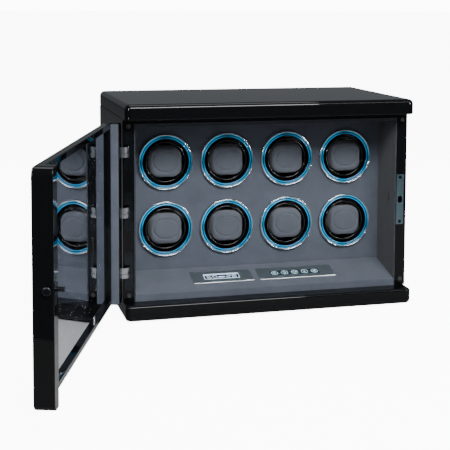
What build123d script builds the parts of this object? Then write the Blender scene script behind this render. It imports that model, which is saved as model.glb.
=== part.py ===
from build123d import *
import os
from math import cos, radians, sin, tan

# A lacquered cabinet that winds watches: eight turning cups in two rows behind a glass
# door, a sloping shelf with a display and a row of touch keys, and the drives behind.
# +X is to the right, +Y to the back and +Z up. The origin is on the surface that the
# feet stand on, below the middle of the cabinet. Lengths are millimetres.

# ---------------------------------------------------------------- cabinet
cab_w = 540.0            # width of the top slab and of the whole cabinet
cab_d = 320.0            # depth of the slab and plinth
cab_h = 388.0            # height from the feet's underside to the slab's top
foot_h = 4.0
foot_d = 18.0
foot_inset = 34.0        # foot centre from the plinth's edges
foot_sink = 1.5          # depth of the feet's seats in the plinth
slab_t = 28.0            # thickness of the top slab
slab_corner = 11.0       # radius of its upright corners
slab_round = 9.0         # radius along its upper edges
slab_under = 2.5         # radius along its lower edges
plinth_t = 28.0
plinth_round = 4.5       # radius along the plinth's upper edges
plinth_under = 6.5       # radius along its lower edges
side_t = 21.0            # lacquered side panel, its front edge is the post that the door meets
liner_t = 2.0            # suede-covered liner on the side panels
header_h = 9.0           # black rail under the slab
header_d = 24.0
ceiling_t = 6.0
cover_t = 6.0            # back cover
cover_inset = 2.0        # back cover behind the slab's back edge
edge_break = 1.2         # small radius on the lacquered boards' long edges

# ---------------------------------------------------------------- door
door_t = 29.0            # thickness of the stiles
door_set = 2.0           # outer face behind the slab's front edge
door_gap = 2.0           # inner face to the posts
door_side = 0.8          # door edge to the cabinet's side
door_top_gap = 4.0
door_bottom_gap = 3.0
door_open = 108.5        # degrees open at rest
stile_w = 25.0
rail_h = 24.0            # height of the rails on the outside
rail_t = 14.0            # thickness of the rails, flush with the outer face
rail_core = 6.0          # height of the rails inside the glass rebate
door_corner = 12.0       # radius of the door's four corners
door_edge = 2.5          # radius along its outer edges
glass_t = 4.0
glass_lip = 4.0          # rail in front of the glass
glass_in = 6.0           # depth of the stiles' glass grooves
glass_clear = 0.2
bead_w = 4.0
bead_round = 1.0         # radius along the beads' inner edges
lining_t = 1.0           # suede strip on each stile, between the bead and the inner face
lining_gap = 0.4         # strip short of the stile's rounded edges

# ---------------------------------------------------------------- hinges
hinge_inset = 53.0       # outer hinges from the door's ends
hinge_count = 3
hinge_plate_w = 15.0
hinge_plate_t = 2.0
hinge_x_in = 10.5        # plate centre from the cabinet's side
hinge_screw_dz = 28.0    # screws above and below the hinge's centre
arm_r_in = 10.2          # hinge arms are rings about the pivot
arm_r_out = 13.0
arm_half = 68.0          # degrees each way from the arms' middle
arm_h = 7.2
arm_gap = 0.4
arm_tongue = 3.2         # height of the middle arm
arm_tongue_in = 0.3      # middle arm inside the outer arms' inner radius
arm_tongue_out = 1.3     # and inside their outer radius
arm_side_in = 0.35       # arms to the cup walls, inside the ring
arm_side_out = 0.4       # and outside it
post_cup_spare = 0.6     # arms' end to the bottom of the post's cup
door_cup_spare = 1.2     # and of the door's cup
arm_pin_r = 1.1
arm_pin_in = 5.0         # degrees from the arm's end to its pin
cup_wall = 0.7
cup_back = 1.0           # thickness of the cup's back wall
cup_half_h = 12.0
pivot_out = 0.9          # pivot outside the cabinet's side
pivot_front = 1.4        # pivot in front of the posts

# ---------------------------------------------------------------- lock
lock_drop = 0.5          # lock centre above the door's middle
lock_share = 0.468       # bolt centre from the door's edge, as a share of the stile's width
bolt_r = 3.5
bolt_out = 12.0          # bolt proud of the door's inner face
bolt_back = 13.0         # bolt inside the door at rest
bolt_travel = 10.0
bolt_groove = 0.8
button_r = 6.0
button_out = 4.0         # button proud of the door's edge
button_in = 4.2          # button inside the edge at rest
button_travel = 3.0
button_depth = 9.0       # button centre from the door's inner face
lock_plate_w = 13.0
lock_plate_half = 21.0
lock_plate_t = 1.5
lock_screw_dz = 15.5
lock_case_half = 10.0
lock_case_back = 3.0     # door left in front of the lock case
lock_case_wall = 1.6     # door left beside the lock case
lock_case_gap = 0.6      # lock case to the glass's groove
slide_clear = 0.3        # bolt and button running clearance, on the radius
bolt_rings = (3.0, 5.6, 8.2)    # grooves, back from the bolt's tip
strike_w = 14.5
strike_half = 47.5
strike_t = 1.5
strike_screw_dz = 42.0
strike_slot_w = 8.4
strike_slot_h = 13.0
strike_pocket = 15.0     # depth of the bolt's pocket in the post
bumper_d = 8.0
bumper_t = 1.7
bumper_inset = 9.0       # bumper centre from the door's ends

# ---------------------------------------------------------------- screws
screw_r = 1.6
screw_head_r = 3.3
screw_head_h = 1.7
screw_len = 14.0
recess_w = 0.9
recess_l = 3.4
recess_d = 1.0

# ---------------------------------------------------------------- interior
panel_y = -43.5          # front face of the station panel
panel_t = 6.0
shelf_back = 67.0        # height of the shelf where it meets the panel
shelf_tilt = 15.0        # degrees, down towards the front
shelf_t = 3.0
lip_t = 2.0
pull_in = 36.0           # middle of the right liner's curved slot, behind the posts
pull_r = 9.0
pull_half = 50.0         # degrees each way
pull_w = 2.4
columns = 4
rows = 2
side_margin = 12.0       # between the outer stations' cells and the liners
floor_margin = 15.0      # between the lower cells and the shelf
ceiling_margin = 13.0

# ---------------------------------------------------------------- stations
bezel_r = 52.0
bezel_wall = 2.5         # width of the chrome rim
bezel_proud = 5.6
bezel_floor = 1.2         # floor that the lamp board lies on
bezel_spigot = 7.5
bezel_spigot_t = 2.0
panel_hole_r = 48.0
light_r_in = 43.2
light_t = 2.2
light_sink = 0.7         # light ring behind the rim's front
led_t = 1.2
housing_r_in = 43.2
housing_wall = 2.4
housing_front = 0.5      # housing behind the panel's front face
housing_floor = 52.0     # inner floor behind the panel's front face
housing_floor_t = 3.0
socket_r = 18.7
socket_wall = 2.4
socket_l = 16.5
boss_r = 10.0
boss_l = 6.5
bush_r = 7.0
bush_flange_r = 9.0
bush_flange_t = 1.2
axle_r = 4.0
axle_clear = 0.06        # axle running clearance, on the radius
axle_l = 23.0
cup_r = 38.5
cup_wall_t = 2.5
cup_front = 2.5          # cup's rim in front of the panel's front face
cup_floor_t = 3.0
cup_floor_gap = 2.5      # cup's floor to the housing's floor
thrust_gap = 0.3
hub_r = 8.0
gearbox_r = 18.5
gearbox_l = 24.0
gearbox_bore = 13.0
can_r = 14.0
can_l = 28.0
cushion_side_gap = 5.0   # cushion to the cup's inner wall, at its sides
cushion_top_gap = 7.0    # and at its top and bottom
cushion_corner = 19.0
rim_round = 0.46         # bezel rim's rounding, as a share of its wall
band_round = 0.9
cup_round = 0.4          # cup rim's rounding, as a share of its wall
foot_bevel = 0.8
lip_round = 1.5
strike_corner = 1.5
dome_round = 1.6
bush_press = 0.02        # bush held in its boss, on the radius
cushion_front = 10.5     # cushion in front of the panel's front face
cushion_back_gap = 3.0   # cushion to the cup's floor
cushion_edge = 7.0

# ---------------------------------------------------------------- controls
control_gap = 12.5       # between the display and the touch panel
control_mid = -14.2      # middle of that gap, in X
control_y = 40.5         # down the shelf from the panel
control_h = 42.0
display_w = 114.0
control_corner = 1.2
touch_w = 148.5
control_t = 3.6
control_proud = 0.6
control_clear = 0.15
module_gap = 0.3
lcd_w = 80.0
lcd_h = 30.0
lcd_t = 5.0
touch_board_w = 120.0
touch_board_t = 1.6
board_w = 150.0
board_d = 70.0
board_t = 1.6
board_stand = 6.0
stand_inset = 6.0
stand_r = 3.0
plug_pitch = 16.0        # one plug a rotor, along the board's front edge
plug_inset = 8.0
plug_size = (11.0, 7.0)
plug_h = 8.0
chips = ((-18.0, 10.0, 20.0), (22.0, 12.0, 12.0))    # x, back from the board's middle, side
chip_h = 2.0
capacitors = ((-58.0, 14.0), (-42.0, 14.0))
capacitor_r = 5.0
capacitor_h = 12.0
board_y = 105.0
jack_x = -180.0
jack_z = 62.0
jack_r = 5.5
jack_flange_r = 8.0
jack_flange_t = 1.4
jack_l = 18.0
jack_bore = 3.2
jack_bore_l = 11.0
jack_pin_r = 1.0
cover_screw_rows = 4
cover_screw_inset = 22.0
vent_w = 60.0
vent_h = 5.0
vent_pitch = 12.0
vent_count = 6
vent_x = 110.0

# ---------------------------------------------------------------- worked out
fit = 0.2                                        # clearance round a mortised piece
half_w = cab_w / 2
front_y = -cab_d / 2
back_y = cab_d / 2
plinth_top = foot_h + plinth_t
slab_bottom = cab_h - slab_t
door_out_y = front_y + door_set
door_in_y = door_out_y + door_t
post_y = door_in_y + door_gap
side_in = half_w - side_t
inner = side_in - liner_t
header_z = slab_bottom - header_h
ceiling_z = header_z - ceiling_t
side_back_y = back_y - cover_inset - cover_t
slope = tan(radians(shelf_tilt))
shelf_front = shelf_back - (panel_y - post_y - lip_t) * slope

door_x = half_w - door_side
door_z0 = plinth_top + door_bottom_gap
door_z1 = slab_bottom - door_top_gap
door_mid = (door_z0 + door_z1) / 2
rail_in_y = door_out_y + rail_t
glass_out_y = door_out_y + glass_lip
glass_in_y = glass_out_y + glass_t
stile_x = door_x - stile_w

pivot = (-half_w - pivot_out, post_y - pivot_front)
swing = Location((pivot[0], pivot[1], 0)) * Location((0, 0, 0), (0, 0, -door_open))
swing = swing * Location((-pivot[0], -pivot[1], 0))
half_swing = Location((pivot[0], pivot[1], 0)) * Location((0, 0, 0), (0, 0, -door_open / 2))
hinge_x = -half_w + hinge_x_in
hinge_span = (door_z1 - door_z0 - 2 * hinge_inset) / (hinge_count - 1)
hinge_l = 2 * hinge_screw_dz + hinge_plate_w
hinge_zs = [door_z0 + hinge_inset + i * hinge_span for i in range(hinge_count)]
lock_x = door_x - lock_share * stile_w
lock_z = door_mid + lock_drop

pitch_x = (2 * inner - 2 * side_margin) / columns
pitch_z = (ceiling_z - shelf_back - floor_margin - ceiling_margin) / rows
column_xs = [(i - (columns - 1) / 2) * pitch_x for i in range(columns)]
row_zs = [shelf_back + floor_margin + (rows - j - 0.5) * pitch_z for j in range(rows)]
stations = [(x, z) for z in row_zs for x in column_xs]
floor_y = panel_y + housing_floor                 # housing's inner floor
cup_floor_y = floor_y - cup_floor_gap             # back of the cup's floor
cup_in_r = cup_r - cup_wall_t
cushion_w = 2 * (cup_in_r - cushion_side_gap)
cushion_h = 2 * (cup_in_r - cushion_top_gap)
boss_y = floor_y + housing_floor_t + boss_l
gearbox_y = boss_y + thrust_gap


def closed(x, y, z, x_dir, z_dir):
    """A plane on the closed door, turned with the door to where it stands at rest."""
    return Plane(swing * Plane(origin=(x, y, z), x_dir=x_dir, z_dir=z_dir).location)


DOOR = closed(0, 0, 0, (1, 0, 0), (0, 0, 1))      # the closed door's own X, Y and Z
FRONT = Plane(origin=(0, 0, 0), x_dir=(1, 0, 0), z_dir=(0, -1, 0))
DOOR_FRONT = closed(0, 0, 0, (1, 0, 0), (0, -1, 0))
SHELF = Plane(
    origin=(0, panel_y, shelf_back),
    x_dir=(1, 0, 0),
    z_dir=(0, -sin(radians(shelf_tilt)), cos(radians(shelf_tilt))),
)


def block(x0, x1, y0, y1, z0, z1, plane=Plane.XY, mode=Mode.ADD):
    """A straight block between two corners, in the open part."""
    with BuildSketch(plane.offset(z0)) as outline:
        with Locations(((x0 + x1) / 2, (y0 + y1) / 2)):
            Rectangle(x1 - x0, y1 - y0)
    extrude(outline.sketch, amount=z1 - z0, mode=mode)


def rod(x, z, radius, y0, y1, plane=FRONT, mode=Mode.ADD):
    """A round rod or hole along Y, between two depths, in the open part."""
    with BuildSketch(plane.offset(-y1)) as outline:
        with Locations((x, z)):
            Circle(radius)
    extrude(outline.sketch, amount=y1 - y0, mode=mode)


def turned(x, z, points, mode=Mode.ADD):
    """A ring or pot turned about a station's axis from (radius, y) points."""
    with BuildSketch(Plane.XY.offset(z)) as profile:
        with BuildLine():
            Polyline([(x + r, y) for r, y in points], close=True)
        make_face()
    revolve(profile.sketch, axis=Axis((x, 0, z), (0, 1, 0)), mode=mode)


def screw_plane(x, z, head_y, back, plane):
    """The plane of a screw's head, facing down its shank; back is 1 or -1."""
    head = Plane(plane.offset(-head_y).location * Location((x, z, 0)))
    return Plane(origin=head.origin, x_dir=head.x_dir, z_dir=head.z_dir * -back)


def countersink(head, extra, mode):
    """The cone under a screw's head, larger by extra on the radius."""
    with BuildSketch(head) as top:
        Circle(screw_head_r + extra)
    with BuildSketch(head.offset(screw_head_h)) as bottom:
        Circle(screw_r + extra)
    loft([top.sketch, bottom.sketch], mode=mode)


def screw(x, z, head_y, back, plane=FRONT):
    """A countersunk cross-head screw along Y, its head flush at head_y."""
    head = screw_plane(x, z, head_y, back, plane)
    countersink(head, 0, Mode.ADD)
    with BuildSketch(head.offset(screw_head_h)) as shank:
        Circle(screw_r)
    extrude(shank.sketch, amount=screw_len - screw_head_h)
    with BuildSketch(head) as cross:
        Rectangle(recess_l, recess_w)
        Rectangle(recess_w, recess_l)
    extrude(cross.sketch, amount=recess_d, mode=Mode.SUBTRACT)


def screw_hole(x, z, head_y, back, depth, plane=FRONT):
    """The countersunk hole that a screw fits, with a small clearance."""
    head = screw_plane(x, z, head_y, back, plane)
    countersink(head, fit / 2, Mode.SUBTRACT)
    with BuildSketch(head) as shank:
        Circle(screw_r + fit / 2)
    extrude(shank.sketch, amount=depth, mode=Mode.SUBTRACT)


def finish(piece, label):
    """Name a finished piece and write it."""
    piece.part.label = label
    export_step(piece.part, f"parts/{label}.step")


os.makedirs("parts", exist_ok=True)

# ================================================================ carcass
feet_at = [
    (sx * (half_w - foot_inset), sy * (cab_d / 2 - foot_inset))
    for sx in (-1, 1)
    for sy in (-1, 1)
]

with BuildPart() as top_slab:
    block(-half_w, half_w, front_y, back_y, slab_bottom, cab_h)
    fillet(top_slab.edges().filter_by(Axis.Z), radius=slab_corner)
    fillet(top_slab.faces().sort_by(Axis.Z)[-1].edges(), radius=slab_round)
    fillet(top_slab.faces().sort_by(Axis.Z)[0].edges(), radius=slab_under)
finish(top_slab, "top_slab")

with BuildPart() as base_plinth:
    block(-half_w, half_w, front_y, back_y, foot_h, plinth_top)
    fillet(base_plinth.edges().filter_by(Axis.Z), radius=slab_corner)
    fillet(base_plinth.faces().sort_by(Axis.Z)[-1].edges(), radius=plinth_round)
    fillet(base_plinth.faces().sort_by(Axis.Z)[0].edges(), radius=plinth_under)
    with BuildSketch(Plane.XY.offset(foot_h)):
        with Locations(feet_at):
            Circle(foot_d / 2 + fit / 2)
    extrude(amount=foot_sink, mode=Mode.SUBTRACT)
finish(base_plinth, "base_plinth")

with BuildPart() as feet:
    with BuildSketch(Plane.XY):
        with Locations(feet_at):
            Circle(foot_d / 2)
    extrude(amount=foot_h + foot_sink)
    chamfer(feet.faces().group_by(Axis.Z)[0].edges(), length=foot_bevel)
finish(feet, "feet")


def hinge_mortises(face_y, back, depth, plane, floor):
    """Seats for the hinge plates, cups and screws in a post or in the door."""
    for z in hinge_zs:
        with BuildSketch(floor.offset(-face_y)) as seat:
            with Locations((hinge_x, z)):
                SlotOverall(hinge_l + fit, hinge_plate_w + fit, rotation=90)
        extrude(seat.sketch, amount=-back * (hinge_plate_t + fit / 2), mode=Mode.SUBTRACT)
        y0, y1 = sorted((face_y, face_y + back * (depth + fit)))
        block(
            cup_x0 - fit, cup_x1 + fit, y0, y1,
            z - cup_half_h - fit, z + cup_half_h + fit, plane, Mode.SUBTRACT,
        )
        for dz in (-hinge_screw_dz, hinge_screw_dz):
            screw_hole(hinge_x, z + dz, face_y, back, screw_len + 1, floor)


arm_reach = arm_r_out * sin(radians(arm_half))
pocket_x0 = pivot[0] + arm_r_in * cos(radians(arm_half)) - arm_side_in
pocket_x1 = pivot[0] + arm_r_out + arm_side_out
cup_x0 = pocket_x0 - cup_wall
cup_x1 = pocket_x1 + cup_wall
post_cup = arm_reach - pivot_front + cup_back + post_cup_spare       # depth of the cup in the post
door_cup = arm_reach + pivot_front - door_gap + cup_back + door_cup_spare

cover_screw_x = half_w - side_t / 2
cover_screw_span = slab_bottom - plinth_top - 2 * cover_screw_inset
cover_screws_at = [
    (sx * cover_screw_x, plinth_top + cover_screw_inset + i * cover_screw_span / (cover_screw_rows - 1))
    for sx in (-1, 1)
    for i in range(cover_screw_rows)
]
cover_y = side_back_y + cover_t


def cover_screw_holes(side):
    """Holes for the back cover's screws in one side panel, in the open part."""
    for x, z in cover_screws_at:
        if x * side > 0:
            screw_hole(x, z, cover_y, -1, screw_len + 1)


with BuildPart() as left_side_panel:
    block(-half_w, -side_in, post_y, side_back_y, plinth_top, slab_bottom)
    fillet(left_side_panel.edges().filter_by(Axis.Z).sort_by(Axis.Y)[0:2], radius=edge_break)
    hinge_mortises(post_y, 1, post_cup, Plane.XY, FRONT)
    cover_screw_holes(-1)
finish(left_side_panel, "left_side_panel")

with BuildPart() as right_side_panel:
    block(side_in, half_w, post_y, side_back_y, plinth_top, slab_bottom)
    fillet(right_side_panel.edges().filter_by(Axis.Z).sort_by(Axis.Y)[0:2], radius=edge_break)
    with BuildSketch(FRONT.offset(-post_y)):
        with Locations((lock_x, lock_z)):
            RectangleRounded(strike_w + fit, 2 * strike_half + fit, strike_corner)
    extrude(amount=-(strike_t + fit / 2), mode=Mode.SUBTRACT)
    pocket_w = strike_slot_w + 2
    pocket_h = strike_slot_h + 2
    block(
        lock_x - pocket_w / 2, lock_x + pocket_w / 2, post_y, post_y + strike_pocket,
        lock_z - pocket_h / 2, lock_z + pocket_h / 2, mode=Mode.SUBTRACT,
    )
    for dz in (-strike_screw_dz, strike_screw_dz):
        screw_hole(lock_x, lock_z + dz, post_y, 1, screw_len + 1)
    cover_screw_holes(1)
finish(right_side_panel, "right_side_panel")

with BuildPart() as header_rail:
    block(-side_in, side_in, post_y + 2, post_y + 2 + header_d, header_z, slab_bottom)
    fillet(header_rail.edges().filter_by(Axis.X).sort_by(Axis.Y)[0:1], radius=edge_break)
finish(header_rail, "header_rail")

vent_z = (plinth_top + slab_bottom) / 2

with BuildPart() as back_cover:
    block(-half_w + 1, half_w - 1, side_back_y, cover_y, plinth_top + 0.5, slab_bottom - 0.5)
    with BuildSketch(FRONT.offset(-cover_y)):
        with Locations((-vent_x, vent_z), (vent_x, vent_z)):
            with GridLocations(1, vent_pitch, 1, vent_count):
                SlotOverall(vent_w, vent_h)
    extrude(amount=cover_t, mode=Mode.SUBTRACT)
    rod(jack_x, jack_z, jack_r + fit, side_back_y, cover_y, mode=Mode.SUBTRACT)
    for x, z in cover_screws_at:
        screw_hole(x, z, cover_y, -1, cover_t)
finish(back_cover, "back_cover")

# ================================================================ interior boards
panel_back_y = panel_y + panel_t

with BuildPart() as station_panel:
    block(-side_in, side_in, panel_y, panel_back_y, plinth_top, slab_bottom)
    for x, z in stations:
        rod(x, z, panel_hole_r, panel_y, panel_back_y, mode=Mode.SUBTRACT)
finish(station_panel, "station_panel")

for side, label in ((-1, "left_liner"), (1, "right_liner")):
    with BuildPart() as liner:
        x0, x1 = sorted((side * inner, side * side_in))
        block(x0, x1, post_y, panel_y, plinth_top, header_z)
        if side > 0:
            with BuildSketch(Plane(origin=(side_in, 0, 0), x_dir=(0, 1, 0), z_dir=(1, 0, 0))):
                with BuildLine():
                    CenterArc((post_y + pull_in, lock_z), pull_r, 180 - pull_half, 2 * pull_half)
                trace(line_width=pull_w)
            extrude(amount=-liner_t, mode=Mode.SUBTRACT)
    finish(liner, label)

with BuildPart() as ceiling_liner:
    block(-inner, inner, post_y, panel_y, ceiling_z, header_z)
finish(ceiling_liner, "ceiling_liner")

shelf_run = (panel_y - post_y - lip_t) / cos(radians(shelf_tilt))
display_x = control_mid - control_gap / 2 - display_w / 2
touch_x = control_mid + control_gap / 2 + touch_w / 2
controls = ((display_x, display_w), (touch_x, touch_w))

with BuildPart() as control_shelf:
    with BuildSketch(Plane.YZ.offset(-inner)):
        with BuildLine():
            Polyline(
                (panel_y, shelf_back),
                (panel_y, shelf_back - shelf_t),
                (post_y + lip_t, shelf_front - shelf_t),
                (post_y + lip_t, shelf_front),
                close=True,
            )
        make_face()
    extrude(amount=2 * inner)
    for x, w in controls:
        with BuildSketch(SHELF.offset(1)):
            with Locations((x, -control_y)):
                Rectangle(w + 2 * control_clear, control_h + 2 * control_clear)
        extrude(amount=-shelf_t - 3, mode=Mode.SUBTRACT)
finish(control_shelf, "control_shelf")

with BuildPart() as shelf_lip:
    block(-inner, inner, post_y, post_y + lip_t, plinth_top, shelf_front)
    fillet(shelf_lip.edges().filter_by(Axis.X).sort_by(Axis.Z)[-2:].sort_by(Axis.Y)[0:1], radius=lip_round)
finish(shelf_lip, "shelf_lip")

# ================================================================ stations
rim_in = bezel_r - bezel_wall
rim_y = panel_y - bezel_proud
ledge_r = light_r_in + 0.8
spigot_r = panel_hole_r - fit
light_y = rim_y + light_sink
led_y = light_y + light_t + 0.2
housing_y = panel_y + housing_front
housing_r = housing_r_in + housing_wall

with BuildPart() as bezel_rings:
    for x, z in stations:
        with BuildSketch(Plane.XY.offset(z)) as rim:
            with BuildLine():
                Polyline(
                    (x + rim_in, rim_y),
                    (x + bezel_r, rim_y),
                    (x + bezel_r, panel_y),
                    (x + spigot_r, panel_y),
                    (x + spigot_r, panel_y + bezel_spigot),
                    (x + spigot_r - bezel_spigot_t, panel_y + bezel_spigot),
                    (x + spigot_r - bezel_spigot_t, panel_y),
                    (x + ledge_r, panel_y),
                    (x + ledge_r, panel_y - bezel_floor),
                    (x + rim_in, panel_y - bezel_floor),
                    close=True,
                )
            make_face()
            fillet(rim.vertices().sort_by(Axis.Y)[0:2], radius=bezel_wall * rim_round)
        revolve(axis=Axis((x, 0, z), (0, 1, 0)))
finish(bezel_rings, "bezel_rings")

with BuildPart() as light_rings:
    for x, z in stations:
        with BuildSketch(Plane.XY.offset(z)) as band:
            with Locations((x + (light_r_in + rim_in - fit) / 2, light_y + light_t / 2)):
                Rectangle(rim_in - fit - light_r_in, light_t)
            fillet(band.vertices().sort_by(Axis.Y)[0:2], radius=band_round)
        revolve(axis=Axis((x, 0, z), (0, 1, 0)))
finish(light_rings, "light_rings")

with BuildPart() as led_boards:
    for x, z in stations:
        r0, r1 = ledge_r, rim_in - fit
        turned(x, z, [(r0, led_y), (r1, led_y), (r1, led_y + led_t), (r0, led_y + led_t)])
finish(led_boards, "led_boards")

floor_back = floor_y + housing_floor_t
with BuildPart() as rotor_housings:
    for x, z in stations:
        turned(x, z, [
            (housing_r_in, housing_y),
            (housing_r, housing_y),
            (housing_r, floor_back),
            (socket_r + socket_wall, floor_back),
            (socket_r + socket_wall, floor_back + socket_l),
            (socket_r, floor_back + socket_l),
            (socket_r, floor_back),
            (boss_r, floor_back),
            (boss_r, boss_y),
            (bush_r, boss_y),
            (bush_r, floor_y),
            (housing_r_in, floor_y),
        ])
finish(rotor_housings, "rotor_housings")

with BuildPart() as rotor_bushes:
    for x, z in stations:
        r0 = axle_r + axle_clear
        turned(x, z, [
            (r0, floor_y - bush_flange_t),
            (bush_flange_r, floor_y - bush_flange_t),
            (bush_flange_r, floor_y),
            (bush_r - bush_press, floor_y),
            (bush_r - bush_press, boss_y),
            (r0, boss_y),
        ])
finish(rotor_bushes, "rotor_bushes")

with BuildPart() as gear_motors:
    for x, z in stations:
        r0 = axle_r + axle_clear
        turned(x, z, [
            (r0, gearbox_y),
            (gearbox_r, gearbox_y),
            (gearbox_r, gearbox_y + gearbox_l),
            (can_r, gearbox_y + gearbox_l),
            (can_r, gearbox_y + gearbox_l + can_l),
            (0, gearbox_y + gearbox_l + can_l),
            (0, gearbox_y + gearbox_bore),
            (r0, gearbox_y + gearbox_bore),
        ])
finish(gear_motors, "gear_motors")

cup_rim_y = panel_y - cup_front
cup_in_y = cup_floor_y - cup_floor_t
hub_y = floor_y - bush_flange_t - thrust_gap
for n, (x, z) in enumerate(stations, start=1):
    with BuildPart() as rotor_cup:
        turned(x, z, [
            (0, cup_in_y),
            (cup_in_r, cup_in_y),
            (cup_in_r, cup_rim_y),
            (cup_r, cup_rim_y),
            (cup_r, cup_floor_y),
            (hub_r, cup_floor_y),
            (hub_r, hub_y),
            (axle_r, hub_y),
            (axle_r, cup_floor_y + axle_l),
            (0, cup_floor_y + axle_l),
        ])
        fillet(rotor_cup.faces().sort_by(Axis.Y)[0].edges(), radius=cup_wall_t * cup_round)
    finish(rotor_cup, f"rotor_cup_{n}")

    cushion_back = cup_in_y - cushion_back_gap
    with BuildPart() as cushion:
        with BuildSketch(Plane(origin=(x, cushion_back, z), x_dir=(1, 0, 0), z_dir=(0, -1, 0))):
            RectangleRounded(cushion_w, cushion_h, cushion_corner)
        extrude(amount=cushion_back - panel_y + cushion_front)
        fillet(cushion.faces().sort_by(Axis.Y)[0].edges(), radius=cushion_edge)
        fillet(cushion.faces().sort_by(Axis.Y)[-1].edges(), radius=cushion_edge / 2)
    finish(cushion, f"cushion_{n}")

# ================================================================ controls
control_top = control_proud
control_bottom = control_top - control_t
for (x, w), label in zip(controls, ("display_panel", "touch_panel")):
    with BuildPart() as control:
        with BuildSketch(SHELF.offset(control_bottom)):
            with Locations((x, -control_y)):
                RectangleRounded(w, control_h, control_corner)
        extrude(amount=control_t)
    finish(control, label)

module_top = control_bottom - module_gap
with BuildPart() as lcd_module:
    block(
        display_x - lcd_w / 2, display_x + lcd_w / 2,
        -control_y - lcd_h / 2, -control_y + lcd_h / 2,
        module_top - lcd_t, module_top, SHELF,
    )
finish(lcd_module, "lcd_module")

with BuildPart() as touch_board:
    block(
        touch_x - touch_board_w / 2, touch_x + touch_board_w / 2,
        -control_y - lcd_h / 2, -control_y + lcd_h / 2,
        module_top - touch_board_t, module_top, SHELF,
    )
finish(touch_board, "touch_board")

board_z = plinth_top + board_stand
board_front = board_y - board_d / 2
with BuildPart() as main_board:
    block(-board_w / 2, board_w / 2, board_front, board_front + board_d, board_z, board_z + board_t)
    with BuildSketch(Plane.XY.offset(plinth_top)):
        with Locations((0, board_y)):
            with GridLocations(board_w - 2 * stand_inset, board_d - 2 * stand_inset, 2, 2):
                Circle(stand_r)
    extrude(amount=board_stand)
    with BuildSketch(Plane.XY.offset(board_z + board_t)):
        with Locations((0, board_front + plug_inset)):
            with GridLocations(plug_pitch, 1, columns * rows, 1):
                Rectangle(*plug_size)
    extrude(amount=plug_h)
    with BuildSketch(Plane.XY.offset(board_z + board_t)):
        for x, dy, side in chips:
            with Locations((x, board_y + dy)):
                Rectangle(side, side)
    extrude(amount=chip_h)
    with BuildSketch(Plane.XY.offset(board_z + board_t)):
        for x, dy in capacitors:
            with Locations((x, board_y + dy)):
                Circle(capacitor_r)
    extrude(amount=capacitor_h)
finish(main_board, "main_board")

with BuildPart() as dc_jack:
    rod(jack_x, jack_z, jack_r, cover_y - jack_l, cover_y)
    rod(jack_x, jack_z, jack_flange_r, cover_y, cover_y + jack_flange_t)
    jack_end = cover_y + jack_flange_t
    rod(jack_x, jack_z, jack_bore, jack_end - jack_bore_l, jack_end, mode=Mode.SUBTRACT)
    rod(jack_x, jack_z, jack_pin_r, jack_end - jack_bore_l - 0.5, jack_end - 1.5)
finish(dc_jack, "dc_jack")

# ================================================================ door
door_h = door_z1 - door_z0
button_y = door_in_y - button_depth


def door_outline():
    """The whole door's rounded outline, as a block to keep pieces inside."""
    with BuildSketch(DOOR_FRONT.offset(-door_in_y - 1)) as outline:
        with Locations((0, door_mid)):
            RectangleRounded(2 * door_x, door_h, door_corner)
    extrude(outline.sketch, amount=door_t + 2, mode=Mode.INTERSECT)


def door_edges(piece, x=None, y=None, z=None):
    """The edges of a piece whose middle has these coordinates on the closed door."""
    found = ShapeList()
    for edge in piece.edges():
        at = DOOR.to_local_coords(edge.center())
        if all(want is None or abs(have - want) < 0.05 for have, want in zip(at, (x, y, z))):
            found.append(edge)
    return found


def stile_base(piece, side):
    """A stile with its rounded edges and its glass groove, in the open part."""
    x0, x1 = sorted((side * stile_x, side * door_x))
    block(x0, x1, door_out_y, door_in_y, door_z0, door_z1, DOOR)
    door_outline()
    joint = door_edges(piece, x=side * stile_x, y=door_out_y)
    fillet([e for e in door_edges(piece, y=door_out_y) if e not in joint], radius=door_edge)
    fillet(door_edges(piece, y=door_in_y), radius=edge_break)
    g0, g1 = sorted((side * (stile_x - 1), side * (stile_x + glass_in + glass_clear)))
    block(
        g0, g1, glass_out_y - glass_clear / 2, glass_in_y + glass_clear / 2,
        door_z0 + rail_core, door_z1 - rail_core, DOOR, Mode.SUBTRACT,
    )


with BuildPart() as door_hinge_stile:
    stile_base(door_hinge_stile, -1)
    hinge_mortises(door_in_y, -1, door_cup, DOOR, DOOR_FRONT)
finish(door_hinge_stile, "door_hinge_stile")

case_y0 = door_out_y + lock_case_back
case_y1 = door_in_y - lock_plate_t
case_x0 = stile_x + glass_in + glass_clear + fit + lock_case_gap
case_x1 = door_x - lock_case_wall
button_axis = closed(door_x, button_y, lock_z, (0, 1, 0), (1, 0, 0))

with BuildPart() as door_lock_stile:
    stile_base(door_lock_stile, 1)
    with BuildSketch(DOOR_FRONT.offset(-door_in_y)):
        with Locations((lock_x, lock_z)):
            RectangleRounded(lock_plate_w + fit, 2 * lock_plate_half + fit, 3)
    extrude(amount=lock_plate_t + fit / 2, mode=Mode.SUBTRACT)
    block(
        case_x0 - fit, case_x1 + fit, case_y0 - fit, door_in_y,
        lock_z - lock_case_half - fit, lock_z + lock_case_half + fit, DOOR, Mode.SUBTRACT,
    )
    with BuildSketch(button_axis):
        Circle(button_r + slide_clear)
    extrude(amount=-(door_x - case_x1), mode=Mode.SUBTRACT)
    for dz in (-lock_screw_dz, lock_screw_dz):
        screw_hole(lock_x, lock_z + dz, door_in_y, -1, screw_len + 1, DOOR_FRONT)
finish(door_lock_stile, "door_lock_stile")

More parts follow.
